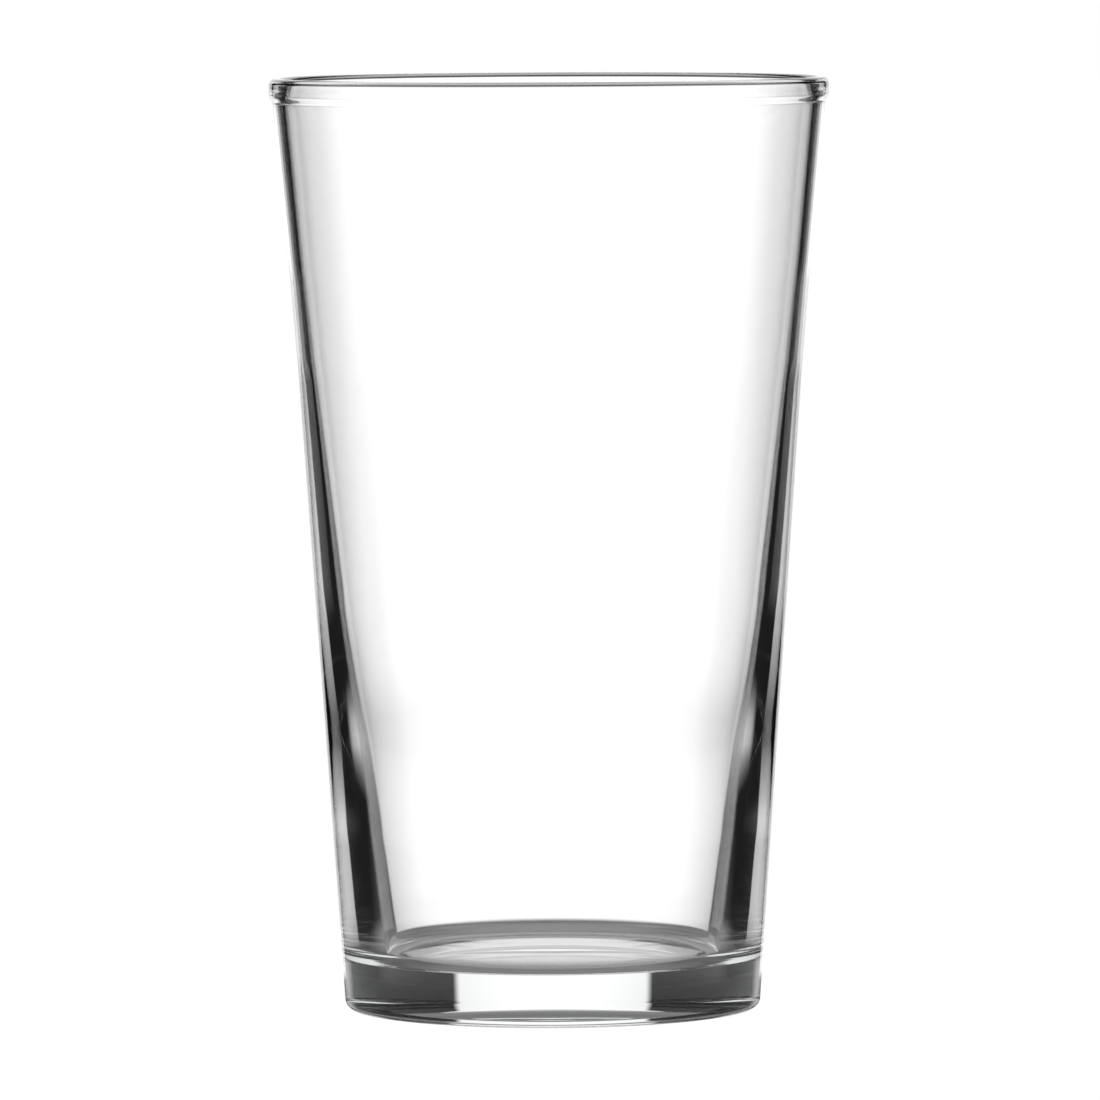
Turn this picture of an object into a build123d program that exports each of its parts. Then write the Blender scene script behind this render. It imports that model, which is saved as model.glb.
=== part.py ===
"""A conical pint glass: one piece of pressed glass with a beaded lip and a thick, hollowed foot.

Millimetres, +Z up. The origin is the centre of the foot, on the plane that the glass stands on.
The glass is one closed half-section, drawn in the XZ plane and turned once round Z.
"""

from build123d import *
from math import radians, tan
import os

# Outside of the wall
height = 152.0  # table to the top of the lip
foot_radius = 33.85  # where the lower wall would meet the table
flare_depth = 39.5  # from the lip down to where the wall starts to open wider
flare_radius = 41.68
lip_radius = 45.45  # outside of the wall at the lip, under the bead
flare_blend = 8.0  # how far the curve between the two slopes reaches along each, inside and out

# Inside of the wall
lip_wall = 2.1  # level thickness at the lip
flare_wall = 2.0  # level thickness where the wall starts to open wider
shoulder_height = 58.0  # where the wall stops thinning fast
shoulder_wall = 3.9
shoulder_blend = 10.0  # how far the curve reaches up and down from there
well_top = 38.0  # the wall thickens more slowly from here down to well_foot
well_foot = 22.0
well_top_wall = 5.6
well_foot_wall = 6.2
well_blend = 6.5
heel_wall = 7.0  # level thickness at the floor
floor_fillet = 3.0  # corner between the wall and the floor
floor_dish = 0.4  # how much lower the middle of the floor is than its edge

# Lip
bead_band = 3.0  # height of the bead's upright band, under the lip
bead_slope = 0.9  # height of the slope that brings the bead back to the wall
bead_stand_out = 0.5  # how far the bead stands out of the wall
bead_blend = 1.2
lip_round = 1.2  # round over the top of the lip, where its thickness leaves room

# Foot
base_thickness = 8.3  # table to the edge of the floor
foot_round = 1.5
bearing_width = 2.5  # from the foot's round to the inside of the ring that the glass stands on
push_up = 2.5  # height of the hollow under the middle of the base


def outside_radius(z: float) -> float:
    """Radius of the outside of the wall at a height, before its curves are rounded."""
    if z < flare_height:
        return foot_radius + (flare_radius - foot_radius) * z / flare_height
    return flare_radius + (lip_radius - flare_radius) * (z - flare_height) / flare_depth


def inside_corner(z: float, wall: float) -> tuple:
    """Corner of the inside at a height where the wall is so thick, measured level."""
    return (outside_radius(z) - wall, z)


def blend_reach(before: tuple, corner: tuple, after: tuple) -> float:
    """How far a round of radius 1 reaches along each of two straight runs from their corner."""
    turn = (Vector(corner) - Vector(before)).get_angle(Vector(after) - Vector(corner))
    return tan(radians(turn) / 2)


flare_height = height - flare_depth
band_foot = height - bead_band
bead_radius = outside_radius(band_foot) + bead_stand_out

# Corners of the section as (radius, height), from the floor up the inside, over the lip and down
# the outside to the ring that the glass stands on.
floor_corner = inside_corner(base_thickness, heel_wall)
inside_well_foot = inside_corner(well_foot, well_foot_wall)
inside_well_top = inside_corner(well_top, well_top_wall)
inside_shoulder = inside_corner(shoulder_height, shoulder_wall)
inside_flare = inside_corner(flare_height, flare_wall)
mouth = inside_corner(height, lip_wall)
bead_top = (bead_radius, height)
bead_bottom = (bead_radius, band_foot)
bead_foot = (outside_radius(band_foot - bead_slope), band_foot - bead_slope)
flare = (flare_radius, flare_height)
foot = (foot_radius, 0.0)

# The two rounds over the lip meet inside its thickness.
lip_reach = blend_reach(inside_flare, mouth, bead_top) + blend_reach(mouth, bead_top, bead_bottom)
lip_fillet = min(lip_round, 0.95 * (bead_radius - mouth[0]) / lip_reach)

# The well's two bends share the run between them.
well_reach = min(well_blend, 0.45 * (well_top - well_foot))

floor_middle = (0.0, base_thickness - floor_dish)
floor_edge = (floor_corner[0] - floor_fillet, base_thickness)
base_middle = (0.0, push_up)
base_edge = (foot_radius - foot_round - bearing_width, 0.0)

corners = [
    floor_corner,
    inside_well_foot,
    inside_well_top,
    inside_shoulder,
    inside_flare,
    mouth,
    bead_top,
    bead_bottom,
    bead_foot,
    flare,
    foot,
]
roundings = [
    floor_fillet,
    well_reach / blend_reach(floor_corner, inside_well_foot, inside_well_top),
    well_reach / blend_reach(inside_well_foot, inside_well_top, inside_shoulder),
    shoulder_blend / blend_reach(inside_well_top, inside_shoulder, inside_flare),
    flare_blend / blend_reach(inside_shoulder, inside_flare, mouth),
    lip_fillet,
    lip_fillet,
    bead_blend,
    bead_blend,
    flare_blend / blend_reach(bead_foot, flare, foot),
    foot_round,
]

with BuildPart() as glass:
    with BuildSketch(Plane.XZ) as section:
        with BuildLine() as outline:
            FilletPolyline(floor_edge, *corners, base_edge, radius=roundings)
            TangentArc(base_middle, base_edge, tangent=(1, 0))
            Line(base_middle, floor_middle)
            TangentArc(floor_middle, floor_edge, tangent=(1, 0))
        make_face()
    revolve(axis=Axis.Z)

os.makedirs("parts", exist_ok=True)
glass.part.label = "glass"
export_step(glass.part, "parts/glass.step")
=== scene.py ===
"""A clear conical pint glass, standing alone on a pale table under soft studio light.

Metres, +Z up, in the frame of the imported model: the glass stands on z = 0 with its axis on Z.
"""

import logging
import math
from dataclasses import dataclass
from enum import Enum

import bmesh
import bpy
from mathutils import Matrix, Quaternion, Vector


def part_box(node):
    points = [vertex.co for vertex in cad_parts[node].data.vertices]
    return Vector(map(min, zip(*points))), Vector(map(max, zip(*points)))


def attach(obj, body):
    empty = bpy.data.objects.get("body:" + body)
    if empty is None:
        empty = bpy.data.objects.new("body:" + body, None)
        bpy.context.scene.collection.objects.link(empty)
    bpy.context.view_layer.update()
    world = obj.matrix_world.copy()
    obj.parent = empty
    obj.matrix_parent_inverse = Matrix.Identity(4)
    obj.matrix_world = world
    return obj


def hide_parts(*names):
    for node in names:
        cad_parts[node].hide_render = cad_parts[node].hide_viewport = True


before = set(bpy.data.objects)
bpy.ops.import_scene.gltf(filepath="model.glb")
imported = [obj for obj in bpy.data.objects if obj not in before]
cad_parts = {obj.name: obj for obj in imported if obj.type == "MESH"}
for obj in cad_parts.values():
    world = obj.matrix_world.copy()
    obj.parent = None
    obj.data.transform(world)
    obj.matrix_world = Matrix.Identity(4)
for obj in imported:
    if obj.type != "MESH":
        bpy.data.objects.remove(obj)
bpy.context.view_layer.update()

log = logging.getLogger("pint_glass")
MM = 0.001


class Rays(Enum):
    """Kinds of ray that a stage shader tells apart, by the name of the Light Path output."""

    CAMERA = "Is Camera Ray"


class Nodes:
    """Writes the nodes of one shader tree, so that a finish reads as a few short sums."""

    def __init__(self, tree: bpy.types.NodeTree) -> None:
        """Empties the tree.

        Args:
            tree: the node tree of a material or a world.
        """
        self.tree = tree
        self.tree.nodes.clear()

    def add(self, kind: str, **settings: object) -> bpy.types.Node:
        """Adds one node.

        Args:
            kind: the node's type name.
            settings: its attributes, by name.

        Returns:
            The new node.
        """
        node = self.tree.nodes.new(kind)
        for name, value in settings.items():
            setattr(node, name, value)
        return node

    def feed(self, socket: bpy.types.NodeSocket, source: object) -> None:
        """Sets a socket to a plain value, or links another socket to it.

        Args:
            socket: the input to feed.
            source: a number, a colour or an output socket.
        """
        if isinstance(source, bpy.types.NodeSocket):
            self.tree.links.new(source, socket)
        else:
            socket.default_value = source

    def math(self, operation: str, *values: object) -> bpy.types.NodeSocket:
        """Adds a Math node.

        Args:
            operation: the node's operation.
            values: its inputs, as numbers or sockets.

        Returns:
            The node's output.
        """
        node = self.add("ShaderNodeMath", operation=operation)
        for socket, value in zip(node.inputs, values):
            self.feed(socket, value)
        return node.outputs[0]

    def fade(self, value: object, start: float, end: float) -> bpy.types.NodeSocket:
        """Rises smoothly from 0 to 1 between two values.

        Args:
            value: what is read.
            start: where the rise starts; above the end, it is a fall.
            end: where the rise is full.

        Returns:
            The share, from 0 to 1.
        """
        node = self.add("ShaderNodeMapRange", interpolation_type="SMOOTHSTEP")
        falls = start > end
        self.feed(node.inputs["Value"], value)
        node.inputs["From Min"].default_value = min(start, end)
        node.inputs["From Max"].default_value = max(start, end)
        node.inputs["To Min"].default_value = 1.0 if falls else 0.0
        node.inputs["To Max"].default_value = 0.0 if falls else 1.0
        return node.outputs["Result"]

    def between(self, share: object, low: object, high: object) -> bpy.types.NodeSocket:
        """Goes from one value to another with a share.

        Args:
            share: 0 for the low value, 1 for the high one.
            low: a number or a socket.
            high: a number or a socket.

        Returns:
            The mixed value.
        """
        rest = self.math("SUBTRACT", 1.0, share)
        return self.math("MULTIPLY_ADD", high, share, self.math("MULTIPLY", low, rest))

    def place(self, kind: str) -> tuple[bpy.types.NodeSocket, ...]:
        """Gives the three parts of a texture coordinate.

        Args:
            kind: the coordinate's name.

        Returns:
            The X, Y and Z sockets.
        """
        parts = self.add("ShaderNodeSeparateXYZ")
        self.feed(parts.inputs[0], self.add("ShaderNodeTexCoord").outputs[kind])
        return tuple(parts.outputs)

    def ray(self, kind: Rays) -> bpy.types.NodeSocket:
        """Gives 1 for a kind of ray and 0 for the rest."""
        return self.add("ShaderNodeLightPath").outputs[kind.value]

    def mix(self, factor: object, first: object, second: object) -> bpy.types.NodeSocket:
        """Adds a Mix Shader node.

        Args:
            factor: the share of the second shader.
            first: the shader at 0.
            second: the shader at 1.

        Returns:
            The mixed shader.
        """
        node = self.add("ShaderNodeMixShader")
        for socket, source in zip(node.inputs, (factor, first, second)):
            self.feed(socket, source)
        return node.outputs[0]


@dataclass(frozen=True)
class ClearGlass:
    """Clear soda-lime glass: polished, with faint ripples from the mould and the fire polish."""

    ior: float = 1.517
    body_colour: tuple[float, float, float] = (0.94, 0.96, 0.95)
    body_density: float = 10.0  # per metre
    ripple_size: float = 0.03
    ripple_height: float = 0.00002
    ring_wear: float = 0.22  # roughness where the foot has rubbed on tables
    ring_height: float = 0.0004
    scuff_scale: float = 900.0
    scuff_detail: float = 4.0

    def build(self) -> bpy.types.Material:
        """Makes the material.

        Returns:
            The finished material.
        """
        material = bpy.data.materials.new("clear_glass")
        material.use_nodes = True
        nodes = Nodes(material.node_tree)
        place = nodes.add("ShaderNodeTexCoord").outputs["Object"]
        shader = nodes.add("ShaderNodeBsdfPrincipled")
        shader.inputs["Base Color"].default_value = (1.0, 1.0, 1.0, 1.0)
        shader.inputs["Transmission Weight"].default_value = 1.0
        shader.inputs["IOR"].default_value = self.ior
        nodes.feed(shader.inputs["Roughness"], self.roughness(nodes, place))
        nodes.feed(shader.inputs["Normal"], self.ripples(nodes, place))
        body = nodes.add("ShaderNodeVolumeAbsorption")
        body.inputs["Color"].default_value = (*self.body_colour, 1.0)
        body.inputs["Density"].default_value = self.body_density
        output = nodes.add("ShaderNodeOutputMaterial")
        nodes.feed(output.inputs["Surface"], shader.outputs[0])
        nodes.feed(output.inputs["Volume"], body.outputs[0])
        return material

    def roughness(self, nodes: Nodes, place: bpy.types.NodeSocket) -> bpy.types.NodeSocket:
        """Polished all over, but for the ring underneath that has rubbed on tables.

        Args:
            nodes: the tree to write in.
            place: object coordinates.

        Returns:
            The roughness.
        """
        parts = nodes.add("ShaderNodeSeparateXYZ")
        nodes.feed(parts.inputs[0], place)
        scuffs = nodes.add("ShaderNodeTexNoise")
        nodes.feed(scuffs.inputs["Vector"], place)
        scuffs.inputs["Scale"].default_value = self.scuff_scale
        scuffs.inputs["Detail"].default_value = self.scuff_detail
        low = nodes.math("LESS_THAN", parts.outputs["Z"], self.ring_height)
        worn = nodes.math("MULTIPLY", low, scuffs.outputs["Fac"])
        return nodes.math("MULTIPLY", worn, self.ring_wear)

    def ripples(self, nodes: Nodes, place: bpy.types.NodeSocket) -> bpy.types.NodeSocket:
        """Faint, broad ripples that bend what is seen through the wall.

        Args:
            nodes: the tree to write in.
            place: object coordinates.

        Returns:
            The normal.
        """
        waves = nodes.add("ShaderNodeTexNoise")
        nodes.feed(waves.inputs["Vector"], place)
        waves.inputs["Scale"].default_value = 1.0 / self.ripple_size
        waves.inputs["Detail"].default_value = 1.0
        bump = nodes.add("ShaderNodeBump")
        bump.inputs["Distance"].default_value = self.ripple_height
        nodes.feed(bump.inputs["Height"], waves.outputs["Fac"])
        return bump.outputs["Normal"]


@dataclass(frozen=True)
class PaleTable:
    """A lit white table, with a painted shadow round the foot of the glass.

    The camera sees plain white with a faint contact shadow. Light that comes through the glass
    sees the room instead, apart from a painted shadow round the foot: a dim glowing disc that
    stands in for the glass's own shade there, with a painted streak of light a little brighter
    behind and before it.
    """

    glow: float = 0.97
    matt: float = 0.10
    # painted shadow: a dim glowing disc round the foot, which stands in for the glass's shade on the
    # table
    painted_shadow_radius: float = 0.060
    painted_shadow_edge: float = 0.010
    painted_shadow_level: float = 0.09
    # painted light: a brighter streak across the painted shadow, behind and before the glass
    painted_streak_gain: float = 0.10
    painted_streak_half: float = 0.022
    painted_streak_edge: float = 0.008

    def build(self) -> bpy.types.Material:
        """Makes the material.

        Returns:
            The finished material.
        """
        material = bpy.data.materials.new("pale_table")
        material.use_nodes = True
        nodes = Nodes(material.node_tree)
        lit = nodes.add("ShaderNodeEmission")
        lit.inputs["Strength"].default_value = self.glow
        matt = nodes.add("ShaderNodeBsdfDiffuse")
        matt.inputs["Color"].default_value = (self.matt, self.matt, self.matt, 1.0)
        seen = nodes.add("ShaderNodeAddShader")
        nodes.feed(seen.inputs[0], lit.outputs[0])
        nodes.feed(seen.inputs[1], matt.outputs[0])
        clear = nodes.add("ShaderNodeBsdfTransparent")
        # painted shadow round the foot: a dim glow seen by every ray but the camera's
        level, share = self.painted_shadow(nodes)
        painted_shadow_glow = nodes.add("ShaderNodeEmission")
        nodes.feed(painted_shadow_glow.inputs["Strength"], level)
        through = nodes.mix(share, clear.outputs[0], painted_shadow_glow.outputs[0])
        output = nodes.add("ShaderNodeOutputMaterial")
        table = nodes.mix(nodes.ray(Rays.CAMERA), through, seen.outputs[0])
        nodes.feed(output.inputs["Surface"], table)
        return material

    def painted_shadow(self, nodes: Nodes) -> tuple[bpy.types.NodeSocket, bpy.types.NodeSocket]:
        """The painted shadow round the foot, with its painted streak of light.

        Args:
            nodes: the tree to write in.

        Returns:
            How bright the painted shadow is, and how much of it there is.
        """
        x, y, _ = nodes.place("Object")
        aside = nodes.math("ABSOLUTE", x)
        edge = self.painted_streak_edge
        # painted light: a brighter streak across the painted shadow
        painted_streak = nodes.fade(aside, self.painted_streak_half + edge, self.painted_streak_half - edge)
        level = nodes.between(painted_streak, self.painted_shadow_level, self.painted_shadow_level + self.painted_streak_gain)
        # the painted shadow's disc round the foot
        squares = nodes.math("MULTIPLY_ADD", x, x, nodes.math("MULTIPLY", y, y))
        radius = nodes.math("SQRT", squares)
        edge = self.painted_shadow_edge
        return level, nodes.fade(radius, self.painted_shadow_radius + edge, self.painted_shadow_radius - edge)


@dataclass(frozen=True)
class Room:
    """Bright panels behind the glass and round from its sides to the front, with a dark gap between.

    Angles are degrees. Round the room they run from straight behind the glass, both ways alike;
    up and down they run from the level of the horizon.
    """

    back_half: float = 19.0
    back_foot_half: float = 22.0  # the back panel is wider near its foot
    back_foot: float = -9.0
    back_foot_edge: float = 2.0
    back_edge: float = 1.0
    back_fall: float = 0.15  # how much dimmer the back panel is at fall_half to each side
    fall_half: float = 20.0
    back_level: float = 1.12
    side_from: float = 72.0  # from here round to the front, the walls are lit softly
    side_edge: float = 8.0
    side_level: float = 0.9
    dim_level: float = 0.012
    panel_foot: float = -13.5
    foot_edge: float = 4.5
    panel_top: float = 42.0
    top_edge: float = 4.0
    ground_level: float = 0.9
    back_ground: float = 0.4  # how bright the ground is behind the glass
    ground_half: float = 32.0
    ground_half_edge: float = 8.0
    ground_from: float = -18.0
    back_ground_from: float = -25.0
    ground_edge: float = 3.0
    near_ground: float = 80.0  # from here round to the front, the ground meets the panels' foot
    near_edge: float = 12.0
    ceiling_level: float = 0.6
    ceiling_from: float = 55.0
    ceiling_edge: float = 6.0

    def build(self) -> bpy.types.World:
        """Makes the world.

        Returns:
            The finished world; straight from the camera it is plain white.
        """
        world = bpy.data.worlds.new("studio")
        world.use_nodes = True
        nodes = Nodes(world.node_tree)
        x, y, z = nodes.place("Generated")
        turn = nodes.math("DEGREES", nodes.math("ARCTAN2", x, y))
        around = nodes.math("ABSOLUTE", turn)
        rise = nodes.math("DEGREES", nodes.math("ARCSINE", z))
        seen = nodes.add("ShaderNodeBackground")
        seen.inputs["Color"].default_value = (1.0, 1.0, 1.0, 1.0)
        room = nodes.add("ShaderNodeBackground")
        room.inputs["Color"].default_value = (1.0, 1.0, 1.0, 1.0)
        nodes.feed(room.inputs["Strength"], self.level(nodes, around, rise))
        output = nodes.add("ShaderNodeOutputWorld")
        both = nodes.mix(nodes.ray(Rays.CAMERA), room.outputs[0], seen.outputs[0])
        nodes.feed(output.inputs["Surface"], both)
        return world

    def panels(
        self, nodes: Nodes, around: bpy.types.NodeSocket, rise: bpy.types.NodeSocket
    ) -> bpy.types.NodeSocket:
        """How bright the panels are at each angle round the room.

        Args:
            nodes: the tree to write in.
            around: the angle from straight behind the glass.
            rise: the angle above the horizon.

        Returns:
            The level.
        """
        edge = self.back_foot_edge
        low = nodes.fade(rise, self.back_foot + edge, self.back_foot - edge)
        half = nodes.between(low, self.back_half, self.back_foot_half)
        inside = nodes.fade(nodes.math("SUBTRACT", half, around), -self.back_edge, self.back_edge)
        share = nodes.math("DIVIDE", around, self.fall_half)
        square = nodes.math("MULTIPLY", share, share)
        fall = nodes.math("MULTIPLY_ADD", square, -self.back_fall, 1.0)
        back = nodes.math("MULTIPLY", nodes.math("MULTIPLY", inside, fall), self.back_level)
        edge = self.side_edge
        sides = nodes.fade(around, self.side_from - edge, self.side_from + edge)
        others = nodes.math("MULTIPLY", sides, self.side_level)
        return nodes.math("MAXIMUM", nodes.math("MAXIMUM", back, others), self.dim_level)

    def level(
        self, nodes: Nodes, around: bpy.types.NodeSocket, rise: bpy.types.NodeSocket
    ) -> bpy.types.NodeSocket:
        """How bright the room is in each direction.

        Args:
            nodes: the tree to write in.
            around: the angle from straight behind the glass.
            rise: the angle above the horizon.

        Returns:
            The level.
        """
        foot = nodes.fade(rise, self.panel_foot - self.foot_edge, self.panel_foot + self.foot_edge)
        top = nodes.fade(rise, self.panel_top + self.top_edge, self.panel_top - self.top_edge)
        panels = nodes.between(
            nodes.math("MULTIPLY", foot, top), self.dim_level, self.panels(nodes, around, rise)
        )
        edge = self.near_edge
        near = nodes.fade(around, self.near_ground - edge, self.near_ground + edge)
        near = nodes.math("MULTIPLY", near, nodes.math("SUBTRACT", 1.0, foot))
        edge = self.ground_half_edge
        beside = nodes.fade(around, self.ground_half - edge, self.ground_half + edge)
        depth = nodes.between(beside, self.back_ground_from, self.ground_from)
        edge = self.ground_edge
        deep = nodes.fade(nodes.math("SUBTRACT", depth, rise), -edge, edge)
        light = nodes.between(beside, self.back_ground, self.ground_level)
        ground = nodes.math("MULTIPLY", nodes.math("MAXIMUM", near, deep), light)
        edge = self.ceiling_edge
        high = nodes.fade(rise, self.ceiling_from - edge, self.ceiling_from + edge)
        ceiling = nodes.math("MULTIPLY", high, self.ceiling_level)
        return nodes.math("ADD", nodes.math("MAXIMUM", panels, ground), ceiling)


@dataclass(frozen=True)
class Corner:
    """One corner of the half-section, and how it is rounded.

    A corner with a round of its own is filleted; one with a reach is blended that far each way.
    """

    radius: float
    height: float
    round: float = 0.0
    reach: float = 0.0
    steps: int = 8

    def at(self) -> Vector:
        """Gives the corner's place."""
        return Vector((self.radius, 0.0, self.height))

    def offset(self, before: "Corner", after: "Corner") -> float:
        """How far the rounding takes from each of the two runs.

        Args:
            before: the corner before it.
            after: the corner after it.

        Returns:
            The distance from the corner.
        """
        turn = (self.at() - before.at()).angle(after.at() - self.at())
        return self.reach or self.round * math.tan(turn / 2)


@dataclass
class PintGlass:
    """The glass itself, turned from one closed half-section."""

    height: float
    bead_radius: float
    foot_radius: float = 33.85 * MM
    flare_depth: float = 39.5 * MM
    flare_radius: float = 41.68 * MM
    lip_radius: float = 45.45 * MM
    flare_blend: float = 8.0 * MM
    lip_wall: float = 2.1 * MM
    flare_wall: float = 2.0 * MM
    shoulder_height: float = 58.0 * MM
    shoulder_wall: float = 3.9 * MM
    shoulder_blend: float = 10.0 * MM
    well_top: float = 38.0 * MM
    well_foot: float = 22.0 * MM
    well_top_wall: float = 5.6 * MM
    well_foot_wall: float = 6.2 * MM
    well_blend: float = 6.5 * MM
    heel_wall: float = 7.0 * MM
    floor_fillet: float = 3.0 * MM
    floor_dish: float = 0.4 * MM
    bead_band: float = 3.0 * MM
    bead_slope: float = 0.9 * MM
    bead_blend: float = 1.2 * MM
    lip_round: float = 1.04 * MM
    base_thickness: float = 8.3 * MM
    foot_round: float = 1.5 * MM
    bearing_width: float = 2.5 * MM
    push_up: float = 2.5 * MM
    dish_flat: float = 1.0 * MM  # half the flat left in the middle of the floor and of the hollow
    turns: int = 192
    ring_gap: float = 2.0 * MM
    merge_gap: float = 0.001 * MM

    def outside_radius(self, z: float) -> float:
        """Radius of the outside of the wall.

        Args:
            z: a height above the table.

        Returns:
            The radius there, before the curves are rounded.
        """
        flare_height = self.height - self.flare_depth
        if z < flare_height:
            return self.foot_radius + (self.flare_radius - self.foot_radius) * z / flare_height
        rise = (z - flare_height) / self.flare_depth
        return self.flare_radius + (self.lip_radius - self.flare_radius) * rise

    def inside(self, z: float, wall: float, **rounding: float) -> Corner:
        """A corner of the inside, where the wall has a known thickness.

        Args:
            z: its height above the table.
            wall: the thickness there, measured level.
            rounding: how the corner is rounded.

        Returns:
            The corner.
        """
        return Corner(self.outside_radius(z) - wall, z, **rounding)

    def inside_corners(self) -> list[Corner]:
        """Corners from the middle of the floor up the inside of the wall to the lip.

        Returns:
            The corners in order.
        """
        middle = self.base_thickness - self.floor_dish
        heel = self.inside(self.base_thickness, self.heel_wall, round=self.floor_fillet, steps=24)
        dish = (heel.radius - self.floor_fillet) / 2
        flare_height = self.height - self.flare_depth
        return [
            Corner(0.0, middle),
            Corner(dish, middle, reach=dish - self.dish_flat, steps=12),
            heel,
            self.inside(self.well_foot, self.well_foot_wall, reach=self.well_blend, steps=12),
            self.inside(self.well_top, self.well_top_wall, reach=self.well_blend, steps=12),
            self.inside(self.shoulder_height, self.shoulder_wall, reach=self.shoulder_blend),
            self.inside(flare_height, self.flare_wall, reach=self.flare_blend),
            self.inside(self.height, self.lip_wall, round=self.lip_round, steps=14),
        ]

    def outside_corners(self) -> list[Corner]:
        """Corners from the top of the lip down the outside to the middle of the hollow base.

        Returns:
            The corners in order.
        """
        band_foot = self.height - self.bead_band
        bead_foot = band_foot - self.bead_slope
        ring = self.foot_radius - self.foot_round - self.bearing_width
        return [
            Corner(self.bead_radius, self.height, round=self.lip_round, steps=14),
            Corner(self.bead_radius, band_foot, round=self.bead_blend),
            Corner(self.outside_radius(bead_foot), bead_foot, round=self.bead_blend),
            Corner(self.flare_radius, self.height - self.flare_depth, reach=self.flare_blend),
            Corner(self.foot_radius, 0.0, round=self.foot_round, steps=20),
            Corner(ring, 0.0),
            Corner(ring / 2, self.push_up, reach=ring / 2 - self.dish_flat, steps=16),
            Corner(0.0, self.push_up),
        ]

    def section(self, shape: bmesh.types.BMesh) -> None:
        """Draws the half-section, rounds its corners and divides its long runs.

        Args:
            shape: the empty mesh to draw in.
        """
        corners = [*self.inside_corners(), *self.outside_corners()]
        points = [shape.verts.new(corner.at()) for corner in corners]
        for start, end in zip(points, points[1:]):
            shape.edges.new((start, end))
        neighbours = zip(corners, corners[1:], corners[2:])
        for point, (before, corner, after) in zip(points[1:], neighbours):
            offset = corner.offset(before, after)
            if offset:
                bmesh.ops.bevel(
                    shape,
                    geom=[point],
                    offset=offset,
                    offset_type="OFFSET",
                    segments=corner.steps,
                    profile=0.5,
                    affect="VERTICES",
                    clamp_overlap=True,
                    material=-1,
                )
        for edge in list(shape.edges):
            cuts = int(edge.calc_length() / self.ring_gap)
            if cuts:
                bmesh.ops.subdivide_edges(shape, edges=[edge], cuts=cuts)

    def turn(self, shape: bmesh.types.BMesh) -> None:
        """Spins the section into the closed body of the glass.

        Args:
            shape: the mesh that holds the section.
        """
        bmesh.ops.spin(
            shape,
            geom=[*shape.verts, *shape.edges],
            cent=(0.0, 0.0, 0.0),
            axis=(0.0, 0.0, 1.0),
            dvec=(0.0, 0.0, 0.0),
            angle=math.tau,
            steps=self.turns,
            use_merge=True,
            use_duplicate=False,
        )
        bmesh.ops.remove_doubles(shape, verts=shape.verts, dist=self.merge_gap)
        bmesh.ops.recalc_face_normals(shape, faces=shape.faces)
        for face in shape.faces:
            face.smooth = True

    def build(self, finish: ClearGlass) -> bpy.types.Object:
        """Makes the glass and dresses it.

        Args:
            finish: what it is made of.

        Returns:
            The finished piece.
        """
        shape = bmesh.new()
        self.section(shape)
        self.turn(shape)
        mesh = bpy.data.meshes.new("pint_glass")
        shape.to_mesh(mesh)
        shape.free()
        mesh.materials.append(finish.build())
        piece = bpy.data.objects.new("pint_glass", mesh)
        bpy.context.collection.objects.link(piece)
        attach(piece, "root")
        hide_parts("glass")
        log.info("pint_glass: %d faces", len(mesh.polygons))
        return piece


@dataclass
class Studio:
    """The table, the light round it and the camera."""

    table_radius: float = 8.0
    table_sides: int = 128
    camera_distance: float = 1.676
    camera_height: float = 0.182
    camera_aim: float = 0.07485
    camera_side: float = -0.00014
    camera_roll: float = -0.0044
    lens: float = 336.6
    sensor: float = 36.0
    bounces: int = 32
    glossy_bounces: int = 16

    def table(self) -> None:
        """Lays the table as a wide disc at the height that the glass stands on."""
        shape = bmesh.new()
        bmesh.ops.create_circle(shape, cap_ends=True, segments=self.table_sides, radius=self.table_radius)
        mesh = bpy.data.meshes.new("table")
        shape.to_mesh(mesh)
        shape.free()
        mesh.materials.append(PaleTable().build())
        top = bpy.data.objects.new("table", mesh)
        bpy.context.collection.objects.link(top)

    def camera(self) -> None:
        """Sets a long lens a little above the lip, looking slightly down."""
        data = bpy.data.cameras.new("camera")
        data.lens = self.lens
        data.sensor_width = self.sensor
        data.clip_start = 0.05
        data.clip_end = 50.0
        camera = bpy.data.objects.new("camera", data)
        bpy.context.collection.objects.link(camera)
        aim = Vector((self.camera_side, 0.0, self.camera_aim))
        camera.location = (self.camera_side, -self.camera_distance, self.camera_height)
        level = (aim - camera.location).to_track_quat("-Z", "Y")
        camera.rotation_mode = "QUATERNION"
        camera.rotation_quaternion = level @ Quaternion((0.0, 0.0, 1.0), self.camera_roll)
        bpy.context.scene.camera = camera

    def film(self) -> None:
        """Lets light through enough walls of glass, and keeps plain contrast."""
        scene = bpy.context.scene
        scene.cycles.max_bounces = self.bounces
        scene.cycles.transmission_bounces = self.bounces
        scene.cycles.glossy_bounces = self.glossy_bounces
        scene.cycles.use_denoising = True
        scene.view_settings.view_transform = "Standard"

    def build(self) -> None:
        """Sets up the whole stage."""
        bpy.context.scene.world = Room().build()
        self.table()
        self.camera()
        self.film()
        log.info("studio: table, room light and camera")


def main() -> None:
    """Builds the glass and the studio."""
    logging.basicConfig(level=logging.INFO, format="%(name)s: %(message)s")
    low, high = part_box("glass")
    bead_radius = min(high.x, high.y, -low.x, -low.y)
    PintGlass(height=high.z, bead_radius=bead_radius).build(ClearGlass())
    Studio().build()


if __name__ == "__main__":
    main()
